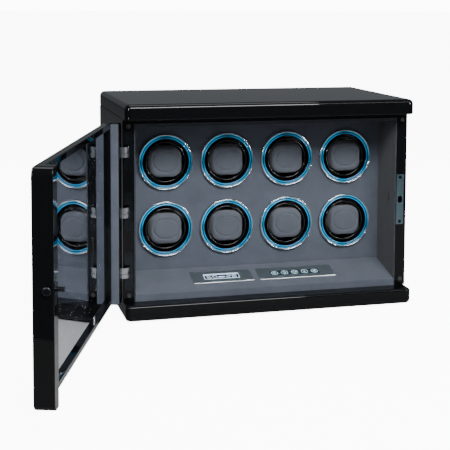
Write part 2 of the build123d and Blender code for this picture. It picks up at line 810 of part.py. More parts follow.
for side, label in ((1, "door_top_rail"), (-1, "door_bottom_rail")):
    edge_z = door_z1 if side > 0 else door_z0
    with BuildPart() as rail:
        z0, z1 = sorted((edge_z, edge_z - side * rail_h))
        block(-stile_x, stile_x, door_out_y, rail_in_y, z0, z1, DOOR)
        fillet(door_edges(rail, y=door_out_y, z=edge_z), radius=door_edge)
        fillet(door_edges(rail, y=rail_in_y, z=edge_z), radius=edge_break)
        fillet(door_edges(rail, y=door_out_y, z=edge_z - side * rail_h), radius=edge_break)
        r0, r1 = sorted((edge_z - side * rail_core, edge_z - side * (rail_h + 1)))
        block(-stile_x, stile_x, glass_out_y - glass_clear / 2, rail_in_y, r0, r1, DOOR, Mode.SUBTRACT)
    finish(rail, label)

glass_x = stile_x + glass_in
glass_z0 = door_z0 + rail_core + glass_clear
glass_z1 = door_z1 - rail_core - glass_clear
with BuildPart() as door_glass:
    block(-glass_x, glass_x, glass_out_y, glass_in_y, glass_z0, glass_z1, DOOR)
finish(door_glass, "door_glass")

bead_y0 = glass_in_y + glass_clear / 2
with BuildPart() as glass_beads:
    for side in (-1, 1):
        edge_z = door_z1 - rail_core if side > 0 else door_z0 + rail_core
        z0, z1 = sorted((edge_z, edge_z - side * bead_w))
        block(-stile_x + 0.1, stile_x - 0.1, bead_y0, rail_in_y, z0, z1, DOOR)
        x0, x1 = sorted((side * (stile_x - 0.05), side * (stile_x - bead_w)))
        z_low = door_z0 + rail_core + bead_w + 0.1
        z_high = door_z1 - rail_core - bead_w - 0.1
        block(x0, x1, bead_y0, rail_in_y, z_low, z_high, DOOR)
        fillet(door_edges(glass_beads, x=side * (stile_x - bead_w), y=rail_in_y), radius=bead_round)
        fillet(door_edges(glass_beads, y=rail_in_y, z=edge_z - side * bead_w), radius=bead_round)
finish(glass_beads, "glass_beads")

with BuildPart() as reveal_linings:
    for side in (-1, 1):
        x0, x1 = sorted((side * stile_x, side * (stile_x - lining_t)))
        y1 = door_in_y - edge_break - lining_gap
        z0 = door_z0 + edge_break + lining_gap
        z1 = door_z1 - edge_break - lining_gap
        block(x0, x1, rail_in_y + 0.1, y1, z0, z1, DOOR)
finish(reveal_linings, "reveal_linings")

# ================================================================ hinges


def hinge_cups(face_y, back, depth, plane, floor):
    """Face plates with the cups that the arms fold into, one solid for each hinge."""
    for z in hinge_zs:
        with BuildSketch(floor.offset(-face_y)) as plate:
            with Locations((hinge_x, z)):
                SlotOverall(hinge_l, hinge_plate_w, rotation=90)
        extrude(plate.sketch, amount=-back * hinge_plate_t)
        y0, y1 = sorted((face_y, face_y + back * depth))
        block(cup_x0, cup_x1, y0, y1, z - cup_half_h, z + cup_half_h, plane)
        p0, p1 = sorted((face_y - back, face_y + back * (depth - cup_back)))
        half = cup_half_h - cup_wall
        block(pocket_x0, pocket_x1, p0, p1, z - half, z + half, plane, Mode.SUBTRACT)
        for dz in (-hinge_screw_dz, hinge_screw_dz):
            screw_hole(hinge_x, z + dz, face_y, back, hinge_plate_t + 1, floor)


with BuildPart() as cabinet_hinge_cups:
    hinge_cups(post_y, 1, post_cup, Plane.XY, FRONT)
finish(cabinet_hinge_cups, "cabinet_hinge_cups")

with BuildPart() as door_hinge_cups:
    hinge_cups(door_in_y, -1, door_cup, DOOR, DOOR_FRONT)
finish(door_hinge_cups, "door_hinge_cups")

ARM = Plane(half_swing * Location((0, 0, 0)))     # origin on the pivot, +X along the arms' middle


def arm(r0, r1, z0, z1):
    """A piece of ring about the pivot, in the open part."""
    with BuildSketch(ARM.offset(z0)) as ring:
        with BuildLine():
            outside = CenterArc((0, 0), r1, -arm_half, 2 * arm_half)
            inside = CenterArc((0, 0), r0, -arm_half, 2 * arm_half)
            Line(outside @ 0, inside @ 0)
            Line(outside @ 1, inside @ 1)
        make_face()
    extrude(ring.sketch, amount=z1 - z0)


arm_z = arm_tongue / 2 + arm_gap
arm_mid = (arm_r_in + arm_r_out) / 2
with BuildPart() as hinge_links:
    for z in hinge_zs:
        arm(arm_r_in, arm_r_out, z + arm_z, z + arm_z + arm_h)
        arm(arm_r_in, arm_r_out, z - arm_z - arm_h, z - arm_z)
        arm(arm_r_in + arm_tongue_in, arm_r_out - arm_tongue_out, z - arm_tongue / 2, z + arm_tongue / 2)
        with BuildSketch(ARM.offset(z - arm_z - arm_h)):
            with PolarLocations(arm_mid, 2, -(arm_half - arm_pin_in), 2 * (2 * arm_half - 2 * arm_pin_in)):
                Circle(arm_pin_r)
        extrude(amount=2 * (arm_z + arm_h))
finish(hinge_links, "hinge_links")

# ================================================================ lock
with BuildPart() as lock_plate:
    with BuildSketch(DOOR_FRONT.offset(-door_in_y)):
        with Locations((lock_x, lock_z)):
            RectangleRounded(lock_plate_w, 2 * lock_plate_half, 3)
            Circle(bolt_r + slide_clear, mode=Mode.SUBTRACT)
    extrude(amount=lock_plate_t)
    for dz in (-lock_screw_dz, lock_screw_dz):
        screw_hole(lock_x, lock_z + dz, door_in_y, -1, lock_plate_t + 1, DOOR_FRONT)
finish(lock_plate, "lock_plate")

with BuildPart() as lock_case:
    block(case_x0, case_x1, case_y0, case_y1, lock_z - lock_case_half, lock_z + lock_case_half, DOOR)
    bolt_end_y = door_in_y - bolt_back - bolt_travel - 0.5
    rod(lock_x, lock_z, bolt_r + slide_clear, bolt_end_y, case_y1, DOOR_FRONT, Mode.SUBTRACT)
    with BuildSketch(button_axis.offset(case_x1 - door_x)):
        Circle(button_r + slide_clear)
    extrude(amount=-(case_x1 - lock_x), mode=Mode.SUBTRACT)
finish(lock_case, "lock_case")

with BuildPart() as latch_bolt:
    tip_y = door_in_y + bolt_out
    rod(lock_x, lock_z, bolt_r, door_in_y - bolt_back, tip_y, DOOR_FRONT)
    for step in bolt_rings:
        groove_y = tip_y - step
        with BuildSketch(DOOR_FRONT.offset(-groove_y - bolt_groove / 2)):
            with Locations((lock_x, lock_z)):
                Circle(bolt_r + 1)
                Circle(bolt_r - bolt_groove, mode=Mode.SUBTRACT)
        extrude(amount=bolt_groove, mode=Mode.SUBTRACT)
    tip_edge = latch_bolt.edges().filter_by(GeomType.CIRCLE).sort_by(Axis(DOOR_FRONT.origin, DOOR_FRONT.z_dir))
    chamfer(tip_edge[0:1], length=0.8)
finish(latch_bolt, "latch_bolt")

with BuildPart() as release_button:
    with BuildSketch(button_axis.offset(-button_in)):
        Circle(button_r)
    extrude(amount=button_in + button_out)
    head = release_button.faces().sort_by(Axis(button_axis.origin, button_axis.z_dir))[-1]
    fillet(head.edges(), radius=dome_round)
finish(release_button, "release_button")

with BuildPart() as strike_plate:
    with BuildSketch(FRONT.offset(-post_y)):
        with Locations((lock_x, lock_z)):
            RectangleRounded(strike_w, 2 * strike_half, strike_corner)
            RectangleRounded(strike_slot_w, strike_slot_h, strike_slot_w * 0.45, mode=Mode.SUBTRACT)
    extrude(amount=-strike_t)
    for dz in (-strike_screw_dz, strike_screw_dz):
        screw_hole(lock_x, lock_z + dz, post_y, 1, strike_t + 1)
finish(strike_plate, "strike_plate")

post_x = half_w - side_t / 2
with BuildPart() as door_bumpers:
    for x in (-post_x, post_x):
        for z in (door_z0 + bumper_inset, door_z1 - bumper_inset):
            rod(x, z, bumper_d / 2, post_y - bumper_t, post_y)
finish(door_bumpers, "door_bumpers")

# ================================================================ screws
with BuildPart() as cabinet_screws:
    for z in hinge_zs:
        for dz in (-hinge_screw_dz, hinge_screw_dz):
            screw(hinge_x, z + dz, post_y, 1)
    for dz in (-strike_screw_dz, strike_screw_dz):
        screw(lock_x, lock_z + dz, post_y, 1)
finish(cabinet_screws, "cabinet_screws")

with BuildPart() as door_screws:
    for z in hinge_zs:
        for dz in (-hinge_screw_dz, hinge_screw_dz):
            screw(hinge_x, z + dz, door_in_y, -1, DOOR_FRONT)
    for dz in (-lock_screw_dz, lock_screw_dz):
        screw(lock_x, lock_z + dz, door_in_y, -1, DOOR_FRONT)
finish(door_screws, "door_screws")

with BuildPart() as back_cover_screws:
    for x, z in cover_screws_at:
        screw(x, z, cover_y, -1)
finish(back_cover_screws, "back_cover_screws")

print("pivot", pivot, "hinges", [round(z, 1) for z in hinge_zs])
print("stations", [(round(x, 1), round(z, 1)) for x, z in stations])
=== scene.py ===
# %% [markdown]
# A lacquered cabinet that keeps eight watches wound, built up in Blender step by step.
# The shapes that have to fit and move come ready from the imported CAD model, which is
# loaded first and never moved. Every size below is in metres, +X to the right, +Y to
# the back and +Z up, with the origin on the table below the middle of the cabinet.

from math import cos, pi, radians, sin

import bpy
import numpy as np
from mathutils import Matrix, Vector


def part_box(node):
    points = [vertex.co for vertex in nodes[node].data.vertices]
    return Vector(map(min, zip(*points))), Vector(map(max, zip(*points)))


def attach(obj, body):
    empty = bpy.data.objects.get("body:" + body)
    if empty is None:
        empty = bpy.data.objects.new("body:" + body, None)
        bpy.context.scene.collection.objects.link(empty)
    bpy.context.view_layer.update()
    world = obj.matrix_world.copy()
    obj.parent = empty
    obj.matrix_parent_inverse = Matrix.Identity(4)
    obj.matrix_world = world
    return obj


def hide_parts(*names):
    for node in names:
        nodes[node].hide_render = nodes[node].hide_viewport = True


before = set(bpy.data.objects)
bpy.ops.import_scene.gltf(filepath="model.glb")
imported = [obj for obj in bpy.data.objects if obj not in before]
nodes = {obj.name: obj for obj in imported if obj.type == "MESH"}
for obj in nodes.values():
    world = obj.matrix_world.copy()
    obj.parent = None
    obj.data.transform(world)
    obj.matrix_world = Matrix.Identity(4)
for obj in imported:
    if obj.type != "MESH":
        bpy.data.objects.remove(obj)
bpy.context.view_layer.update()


# %% [markdown]
# The camera stands a little to the left of the cabinet and looks down on it by five
# degrees, with a long lens, as for a catalogue picture. The lens is shifted down, as on
# a view camera, so that the upright edges of the box stay nearly upright.

# %% Camera
CAMERA_AT = (-0.58075, -2.03786, 0.56638)
YAW, PITCH, ROLL = radians(14.57), radians(4.96), radians(0.21)
LENS_MM, SENSOR_MM, SHIFT_Y = 88.39, 36.0, -0.2834

forward = np.array([sin(YAW) * cos(PITCH), cos(YAW) * cos(PITCH), -sin(PITCH)])
level_right = np.array([cos(YAW), -sin(YAW), 0.0])
level_up = np.cross(level_right, forward)
right = level_right * cos(ROLL) + level_up * sin(ROLL)
up = level_up * cos(ROLL) - level_right * sin(ROLL)

camera_data = bpy.data.cameras.new("catalogue_camera")
camera_data.lens = LENS_MM
camera_data.sensor_width = SENSOR_MM
camera_data.shift_y = SHIFT_Y
camera = bpy.data.objects.new("catalogue_camera", camera_data)
turn = Matrix(np.column_stack([right, up, -forward]).tolist()).to_4x4()
camera.matrix_world = Matrix.Translation(CAMERA_AT) @ turn
bpy.context.scene.collection.objects.link(camera)
bpy.context.scene.camera = camera
print("camera looks along", np.round(forward, 3))


# %% [markdown]
# A material here is a small tree of nodes. One helper adds any node: keyword settings go
# on the node itself, and the dictionary goes on its sockets, where a value that is another
# node's output becomes a link. Colours are written as the hex codes of a paint chart, and
# turned to the linear numbers that the renderer counts in.

# %% Helpers for materials
def linear(code):
    """An sRGB hex colour as linear RGBA: the sRGB curve is undone channel by channel."""
    srgb = np.array([int(code[i:i + 2], 16) for i in (0, 2, 4)]) / 255
    rgb = np.where(srgb <= 0.04045, srgb / 12.92, ((srgb + 0.055) / 1.055) ** 2.4)
    return (*rgb.tolist(), 1.0)


def add(tree, kind, sockets=None, **settings):
    """Adds one node with its settings, and fills or links the sockets that are named."""
    made = tree.nodes.new("ShaderNode" + kind)
    for key, value in settings.items():
        setattr(made, key, value)
    for key, value in (sockets or {}).items():
        if isinstance(value, bpy.types.NodeSocket):
            tree.links.new(value, made.inputs[key])
        else:
            made.inputs[key].default_value = value
    return made


def new_material(name):
    """An empty node tree, and the object's own coordinates in metres; close_tree adds its output later.
    """
    material = bpy.data.materials.new(name)
    material.use_nodes = True
    tree = material.node_tree
    tree.nodes.clear()
    place = add(tree, "TexCoord").outputs["Object"]
    return material, tree, place


def close_tree(tree, shader):
    """Links the finished shader to the material's output."""
    add(tree, "OutputMaterial", {"Surface": shader.outputs[0]})


def between(tree, factor, low, high):
    """A colour ramp from one hex colour to another, along factor."""
    ramp = add(tree, "ValToRGB", {"Fac": factor})
    ramp.color_ramp.elements[0].color = linear(low)
    ramp.color_ramp.elements[1].color = linear(high)
    return ramp.outputs["Color"]


def spread(tree, factor, low, high):
    """A pattern's 0 to 1 turned into a number between low and high."""
    return add(tree, "MapRange", {"Value": factor, "To Min": low, "To Max": high}).outputs["Result"]


def dress(names, material):
    """Gives CAD nodes a better material, in every slot that they have."""
    for name in names:
        for place in nodes[name].material_slots:
            place.material = material
    print(material.name, "on", len(names), "pieces")


# %% [markdown]
# **Piano lacquer.** The boards are fibreboard under a thick polyester lacquer, sanded and
# then buffed on a cloth wheel until it mirrors. To the eye that is a black body under a
# clear coat, with two small faults: a long, shallow waviness that bends reflections, and
# fine haze left by the buffing wheel, which makes the gloss vary a little.

# %% Piano lacquer
lacquer, tree, place = new_material("piano_lacquer_buffed")
waves = add(tree, "TexNoise", {"Vector": place, "Scale": 45.0, "Detail": 2.0})
haze = add(tree, "TexNoise", {"Vector": place, "Scale": 260.0, "Detail": 4.0, "Roughness": 0.6})
skin = add(tree, "Bump", {"Height": waves.outputs["Fac"], "Strength": 0.035, "Distance": 0.001})
body = add(tree, "BsdfPrincipled", {
    "Base Color": between(tree, haze.outputs["Fac"], "050607", "0b0c0e"),
    "Roughness": spread(tree, haze.outputs["Fac"], 0.06, 0.13),
    "Specular IOR Level": 0.0,
    "Normal": skin.outputs["Normal"],
    "Coat Weight": 1.0,
    "Coat Roughness": 0.03,
    "Coat IOR": 1.3,
})
close_tree(tree, body)
dress([
    "top_slab", "base_plinth", "left_side_panel", "right_side_panel", "header_rail",
    "door_hinge_stile", "door_lock_stile", "door_top_rail", "door_bottom_rail", "glass_beads",
], lacquer)


# %% [markdown]
# **Microfibre suede.** The inside is lined with a short-napped microfibre, glued on card.
# Its fibres are under a tenth of a millimetre, too fine to draw, so the grain is drawn at
# about one millimetre. Larger soft blotches are where the nap has been brushed another
# way. Sheen gives the pale bloom that such cloth has when it is seen at a slant. The sides
# and the ceiling get a darker copy of the same suede than the back, the shelf and the
# door's edges: that is painted shade, for the shade that falls on them inside the cabinet.

# %% Microfibre suede
def suede(name, dark, light, bloom):
    """A napped cloth: fine grain, soft blotches, and a sheen of the given weight."""
    material, tree, place = new_material(name)
    grain = add(tree, "TexNoise", {"Vector": place, "Scale": 900.0, "Detail": 3.0, "Roughness": 0.7})
    nap = add(tree, "TexNoise", {"Vector": place, "Scale": 28.0, "Detail": 3.0, "Roughness": 0.55})
    both = add(tree, "Mix", {"Factor": 0.45, "A": nap.outputs["Fac"], "B": grain.outputs["Fac"]})
    nap_bump = add(tree, "Bump", {"Height": grain.outputs["Fac"], "Strength": 0.35, "Distance": 0.0006})
    cloth = add(tree, "BsdfPrincipled", {
        "Base Color": between(tree, both.outputs["Result"], dark, light),
        "Roughness": 0.95,
        "Specular IOR Level": 0.15,
        "Normal": nap_bump.outputs["Normal"],
        "Sheen Weight": bloom,
        "Sheen Roughness": 0.45,
    })
    close_tree(tree, cloth)
    return material


wall_suede = suede("microfibre_suede_wall", "3a3f48", "585e69", 0.25)
# painted shade: a darker copy of the suede for the sides and the ceiling, which lie in shade
shaded_side_suede = suede("microfibre_suede_painted_shade", "282b31", "3d4149", 0.2)
dress(["station_panel", "control_shelf", "shelf_lip", "reveal_linings"], wall_suede)
dress(["left_liner", "right_liner", "ceiling_liner"], shaded_side_suede)


# %% [markdown]
# **Metals.** The bezels are zinc castings under bright chrome. The hinge plates, their
# screws and the lock's face are black nickel over pressed steel. The arms are bare
# nickel-plated steel that keeps the fine lines of its rolling, and the strike is a bluish
# satin chrome. A metal has no colour under its surface, so only its tint, its roughness
# and the direction of its fine lines matter.

# %% Metals
def metal(name, tint, smooth, rough, lines=(1.0, 1.0, 1.0), depth=0.04):
    """A plated metal. Its roughness varies over a noise that is stretched along the lines,
    and depth is how strongly the lines tilt the surface."""
    material, tree, place = new_material(name)
    along = add(tree, "Mapping", {"Vector": place, "Scale": lines})
    marks = add(tree, "TexNoise", {"Vector": along.outputs["Vector"], "Scale": 400.0, "Detail": 3.0})
    scratch = add(tree, "Bump", {"Height": marks.outputs["Fac"], "Strength": depth, "Distance": 0.0004})
    plate = add(tree, "BsdfPrincipled", {
        "Base Color": linear(tint),
        "Metallic": 1.0,
        "Roughness": spread(tree, marks.outputs["Fac"], smooth, rough),
        "Normal": scratch.outputs["Normal"],
    })
    close_tree(tree, plate)
    return material


chrome = metal("chrome_plate_bright", "c3c8cf", 0.13, 0.16, depth=0.001)
black_nickel = metal("black_nickel_plate", "34373c", 0.14, 0.28)
rolled_steel = metal("nickel_steel_rolled", "b4b7bb", 0.12, 0.3, lines=(1.0, 1.0, 12.0))
blue_chrome = metal("dark_blue_chrome", "6f8790", 0.2, 0.3, depth=0.01)
dress(["hinge_links", "lock_case", "back_cover_screws", "gear_motors"], rolled_steel)
dress([
    "cabinet_hinge_cups", "door_hinge_cups", "cabinet_screws", "door_screws",
    "lock_plate", "latch_bolt", "dc_jack", "release_button",
], black_nickel)
dress(["strike_plate"], blue_chrome)
dress(["bezel_rings"], chrome)


# %% [markdown]
# **Polished ABS.** The bowls and the turning cups are injection-moulded ABS from a mirror
# polished mould: black all through, with a hard gloss and only a trace of flow marks.

# %% Moulded plastics and rubber
def moulded(name, dark, light, smooth, rough, grain):
    """A moulded plastic: a body colour with a faint variation, and a skin of the given gloss."""
    material, tree, place = new_material(name)
    flow = add(tree, "TexNoise", {"Vector": place, "Scale": grain, "Detail": 2.0})
    skin = add(tree, "Bump", {"Height": flow.outputs["Fac"], "Strength": 0.05, "Distance": 0.0005})
    plastic = add(tree, "BsdfPrincipled", {
        "Base Color": between(tree, flow.outputs["Fac"], dark, light),
        "Roughness": spread(tree, flow.outputs["Fac"], smooth, rough),
        "IOR": 1.54,
        "Normal": skin.outputs["Normal"],
    })
    close_tree(tree, plastic)
    return material


gloss_abs = moulded("abs_polished_black", "060708", "0d0e11", 0.05, 0.12, 120.0)
matt_rubber = moulded("rubber_matt_black", "0c0c0c", "1a1a1a", 0.7, 0.9, 1400.0)
circuit_board = moulded("circuit_board_green", "0e2f1d", "164028", 0.35, 0.55, 600.0)
sealed_board = moulded("fibreboard_sealed_dark", "16130f", "2a241d", 0.55, 0.75, 700.0)
bronze = metal("bronze_sintered", "8f6b3e", 0.35, 0.55)
satin_plate = metal("aluminium_anodised_satin", "8d979b", 0.4, 0.52, lines=(0.1, 1.0, 1.0))
dress(["rotor_housings"] + [f"rotor_cup_{n}" for n in range(1, 9)], gloss_abs)
dress(["feet", "door_bumpers"], matt_rubber)
dress(["led_boards", "lcd_module", "touch_board", "main_board"], circuit_board)
dress(["back_cover"], sealed_board)
dress(["rotor_bushes"], bronze)
dress(["display_panel", "touch_panel"], satin_plate)


# %% [markdown]
# **Smoked door glass.** The pane is grey glass with a half-mirror film. Looked at squarely
# it shows the watches, and looked at along its face it is nearly a mirror, so both its
# tint and its share of mirror follow how slanted the view is, as Layer Weight gives it.

# %% Smoked glass
glass, tree, _ = new_material("smoked_glass_mirror_film")
slant = add(tree, "LayerWeight", {"Blend": 0.5}).outputs["Facing"]
film = add(tree, "MapRange", {"Value": slant, "From Max": 0.8, "To Min": 0.1, "To Max": 0.86})
smoke = add(tree, "BsdfTransparent", {"Color": between(tree, slant, "d6d9dd", "2c2f34")})
mirror = add(tree, "BsdfGlossy", {"Color": linear("e6e9ee"), "Roughness": 0.015})
pane = add(tree, "MixShader", {0: film.outputs[0], 1: smoke.outputs[0], 2: mirror.outputs[0]})
close_tree(tree, pane)
dress(["door_glass"], glass)


# %% [markdown]
# New shapes are worked out as whole arrays of points. A shape is a stack of loops: each
# loop is one row of points round the piece, and neighbouring loops are joined by quads.
# A ring closes on itself both ways. A plate, a pad or a disc closes at its two ends, on
# one point in the middle of each. If the volume comes out negative the faces look
# inwards, and the loops are turned round.

# %% Loops of points into a mesh
def quads_of(rows, columns, ring):
    """Indices of the quads between neighbouring loops; the last loop joins the first on a ring."""
    row = np.arange(rows if ring else rows - 1)[:, None]
    column = np.arange(columns)[None, :]
    after, beside = (row + 1) % rows, (column + 1) % columns
    corners = [row * columns + column, after * columns + column]
    corners += [after * columns + beside, row * columns + beside]
    return np.stack(np.broadcast_arrays(*corners), -1).reshape(-1, 4)


def signed_volume(points, faces):
    """The sum over triangles of a corner dotted with the cross product of the other two, over 6."""
    first = points[faces[:, 0]]
    total = 0.0
    for one, two in ((1, 2), (2, 3)):
        total += np.einsum("ij,ij->", first, np.cross(points[faces[:, one]], points[faces[:, two]]))
    return total / 6


def build(name, loops, material, ring=False, around=None):
    """A mesh from one or more stacks of loops, an array of (copies, rows, columns, 3) metres.

    Without ring, each stack gets a middle point at both ends and fans of triangles to it.
    With around, the points get a UV map: u along the loop and v across the loops."""
    loops = np.asarray(loops, float)
    if loops.ndim == 3:
        loops = loops[None]
    copies, rows, columns, _ = loops.shape
    each = rows * columns + (0 if ring else 2)
    quads = quads_of(rows, columns, ring)
    if signed_volume(loops[0].reshape(-1, 3), quads) < 0:
        loops = loops[:, :, ::-1]
    points = loops.reshape(copies, -1, 3)
    faces = quads[None] + (np.arange(copies) * each)[:, None, None]
    corners, counts = faces.reshape(-1), np.full(faces.shape[0] * faces.shape[1], 4)
    if not ring:
        ends = np.stack([loops[:, 0].mean(1), loops[:, -1].mean(1)], 1)
        points = np.concatenate([points, ends], 1)
        here = np.arange(columns)
        there = (here + 1) % columns
        last = (rows - 1) * columns
        fans = np.concatenate([
            np.stack([here, there, np.full(columns, rows * columns)], -1),
            np.stack([last + there, last + here, np.full(columns, rows * columns + 1)], -1),
        ])
        fans = fans[None] + (np.arange(copies) * each)[:, None, None]
        corners = np.concatenate([corners, fans.reshape(-1)])
        counts = np.concatenate([counts, np.full(fans.shape[0] * fans.shape[1], 3)])
    mesh = bpy.data.meshes.new(name)
    mesh.vertices.add(copies * each)
    mesh.vertices.foreach_set("co", points.reshape(-1))
    mesh.loops.add(len(corners))
    mesh.loops.foreach_set("vertex_index", corners)
    mesh.polygons.add(len(counts))
    mesh.polygons.foreach_set("loop_start", np.concatenate([[0], np.cumsum(counts)[:-1]]))
    mesh.update(calc_edges=True)
    mesh.polygons.foreach_set("use_smooth", np.ones(len(counts), bool))
    if around is not None:
        grid = np.stack(np.meshgrid(np.arange(columns) / columns, around), -1).reshape(-1, 2)
        everywhere = np.tile(grid, (copies, 1))
        u_next = everywhere[corners]
        wrapped = (corners % columns == 0) & np.isin(np.arange(len(corners)) % 4, (2, 3))
        u_next[wrapped, 0] = 1.0
        mesh.uv_layers.new(name="around").data.foreach_set("uv", u_next.reshape(-1))
    mesh.materials.append(material)
    mesh.validate()
    piece = bpy.data.objects.new(name, mesh)
    bpy.context.scene.collection.objects.link(piece)
    print(name, "points", len(mesh.vertices), "faces", len(mesh.polygons))
    return piece


def middle(name):
    """The middle of a CAD node's box."""
    low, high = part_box(name)
    return np.array((low + high) / 2)


MM = 0.001
station_at = np.array([middle(f"rotor_cup_{n}") for n in range(1, 9)])
panel_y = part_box("station_panel")[0].y
print("stations", np.round(station_at[:, [0, 2]] / MM, 1).tolist())


# %% [markdown]
# **Bezels and lit rings.** Each is a profile turned about its station's axis. The bezel
# has a rounded rim with a fine step inside it, so that it catches two thin lines of
# light. The lit ring is clear blue acrylic with two turned ribs, and lamps behind it: the
# ribs gather the light into two bright lines, and it fades between neighbouring lamps.

# %% Turned profiles
def turned(profile, steps=160):
    """A profile of (radius, y) in mm carried round each station: x and z are the radius
    times the cosine and sine of the angle, added to the station's middle."""
    angle = np.linspace(0, 2 * pi, steps, endpoint=False)
    radius, depth = np.array(profile, float).T * MM
    x = station_at[:, 0, None, None] + radius[:, None] * np.cos(angle)
    z = station_at[:, 2, None, None] + radius[:, None] * np.sin(angle)
    y = np.broadcast_to(panel_y + depth[:, None], x.shape[1:])
    return np.stack([x, np.broadcast_to(y, x.shape), z], -1)


def rounded(points, radius, steps=5):
    """A closed profile with each corner replaced by a small arc: the points of a quadratic
    curve from one tangent point to the other, with the corner as its middle handle."""
    points = np.array(points, float)
    before = np.roll(points, 1, 0) - points
    after = np.roll(points, -1, 0) - points
    reach = np.minimum(np.linalg.norm(before, axis=1), np.linalg.norm(after, axis=1)) * 0.45
    reach = np.minimum(reach, radius)[:, None]
    start = points + before / np.linalg.norm(before, axis=1)[:, None] * reach
    end = points + after / np.linalg.norm(after, axis=1)[:, None] * reach
    t = np.linspace(0, 1, steps)[None, :, None]
    curve = (1 - t) ** 2 * start[:, None] + 2 * t * (1 - t) * points[:, None] + t ** 2 * end[:, None]
    return curve.reshape(-1, 2)


bezel_profile = rounded([
    (51.9, 0.0), (51.9, -4.4), (51.2, -5.5), (50.5, -5.5), (50.3, -4.9), (49.8, -4.9), (49.5, -5.3),
    (49.4, -1.3), (47.7, -1.3), (47.7, 7.4), (45.9, 7.4), (45.9, 0.0),
], 0.5)
bezels = build("bezel_rims", turned(bezel_profile), chrome, ring=True)
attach(bezels, "cabinet")
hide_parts("bezel_rings")

light_profile = rounded([
    (43.3, -2.8), (43.3, -4.0), (43.9, -4.6), (44.9, -4.8), (45.7, -4.0), (46.6, -3.7), (47.5, -4.0),
    (48.3, -4.8), (48.9, -4.7), (49.2, -4.0), (49.2, -2.8),
], 0.6)
across = np.linspace(0, 1, len(light_profile))

lamp, tree, _ = new_material("acrylic_ribbed_lit_blue")
ring_uv = add(tree, "UVMap", uv_map="around").outputs["UV"]
split = add(tree, "SeparateXYZ", {"Vector": ring_uv})

by_angle = add(tree, "ValToRGB", {"Fac": split.outputs["X"]})
by_radius = add(tree, "ValToRGB", {"Fac": split.outputs["Y"]})


def stops(ramp, pairs):
    """Fills a colour ramp with (position, hex colour) pairs."""
    elements = ramp.color_ramp.elements
    while len(elements) < len(pairs):
        elements.new(0.5)
    for element, (position, code) in zip(elements, sorted(pairs)):
        element.position = position
        element.color = linear(code)


# dark where there is no lamp: at a quarter of a turn, at half a turn, and low on the right
stops(by_angle, [
    (0.0, "909090"), (0.1, "ffffff"), (0.2, "c0c0c0"), (0.26, "505050"), (0.33, "f0f0f0"),
    (0.45, "ffffff"), (0.49, "161616"), (0.52, "161616"), (0.56, "e8e8e8"), (0.7, "ffffff"),
    (0.84, "c8c8c8"), (0.89, "ffffff"), (0.93, "1c1c1c"), (0.97, "484848"),
])
stops(by_radius, [
    (0.0, "000810"), (0.2, "001c30"), (0.33, "0084b4"), (0.42, "004a74"), (0.55, "001c34"),
    (0.66, "003860"), (0.78, "00c4e8"), (0.88, "006c98"), (1.0, "00101c"),
])
glow = add(tree, "BsdfPrincipled", {
    "Base Color": by_radius.outputs["Color"],
    "Roughness": 0.12,
    "IOR": 1.49,
    "Emission Color": by_radius.outputs["Color"],
    "Emission Strength": spread(tree, by_angle.outputs["Color"], 0.0, 1.1),
})
close_tree(tree, glow)
lights = build("lit_rings", turned(light_profile), lamp, ring=True, around=across)
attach(lights, "cabinet")
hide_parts("light_rings")


# %% [markdown]
# **Cushions.** Each is a foam block sewn into suede: a face panel with rounded corners,
# joined to a side band by a seam, and an oval pressed into the face. The block is built as
# loops of a rounded rectangle. Cloth under a little pressure then swells it as foam does:
# the sides crown between the corners. The movement is capped, so it still fits its cup,
# and the seam and the oval come last, because the swelling would wipe them out.

# %% One swollen cushion
cushion_low, cushion_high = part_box("cushion_1")
cushion_size = np.array(cushion_high - cushion_low)
cushion_mid = middle("cushion_1")
TURN_IN = 1.2 * MM             # how much smaller the block starts, all round
CAP = 2.2 * MM                 # furthest that the foam may swell
VOXEL = 2.4 * MM
PRESSURE, FRAMES = 4.0, 20     # air pressure in the foam, and how long it swells


def rounded_loop(width, height, corner, count):
    """Points round a rectangle with round corners: the middle of the nearest corner's arc,
    plus the corner's radius in the direction of the angle."""
    angle = (np.arange(count) + 0.5) * 2 * pi / count
    x = np.sign(np.cos(angle)) * (width / 2 - corner) + corner * np.cos(angle)
    z = np.sign(np.sin(angle)) * (height / 2 - corner) + corner * np.sin(angle)
    return x, z


def pad_loops(width, height, front, back, corner, edge, count=64):
    """A block with rounded edges: loops shrink by edge times one minus the sine, and move
    by edge times the cosine, over a quarter circle at the front and at the back."""
    quarter = np.linspace(0, pi / 2, 7)
    shrink = np.concatenate([edge * (1 - np.sin(quarter)), edge * (1 - np.cos(quarter))])
    depth = np.concatenate([front + edge * (1 - np.cos(quarter)), back - edge * (1 - np.sin(quarter))])
    loops = []
    for inset, y in zip(shrink, depth):
        x, z = rounded_loop(width - 2 * inset, height - 2 * inset, corner - inset * 0.6, count)
        loops.append(np.stack([x + cushion_mid[0], np.full(count, y), z + cushion_mid[2]], -1))
    return np.array(loops)


block_loops = pad_loops(
    cushion_size[0] - 2 * TURN_IN, cushion_size[2] - 2 * TURN_IN,
    cushion_low.y + TURN_IN, cushion_high.y - TURN_IN, 18 * MM, 6 * MM,
)
cushion = build("cushion_block", block_loops, wall_suede)


def apply_modifiers(piece):
    """Puts the modified shape into the mesh and takes the modifiers off."""
    graph = bpy.context.evaluated_depsgraph_get()
    finished = bpy.data.meshes.new_from_object(piece.evaluated_get(graph))
    piece.modifiers.clear()
    piece.data = finished


def corners_of(piece):
    """All points of a mesh as one array."""
    found = np.empty(len(piece.data.vertices) * 3, np.float32)
    piece.data.vertices.foreach_get("co", found)
    return found.reshape(-1, 3).astype(float)


def move_to(piece, points):
    """Puts every point of a mesh at its new place."""
    piece.data.vertices.foreach_set("co", np.ascontiguousarray(points, np.float32).reshape(-1))
    piece.data.update()


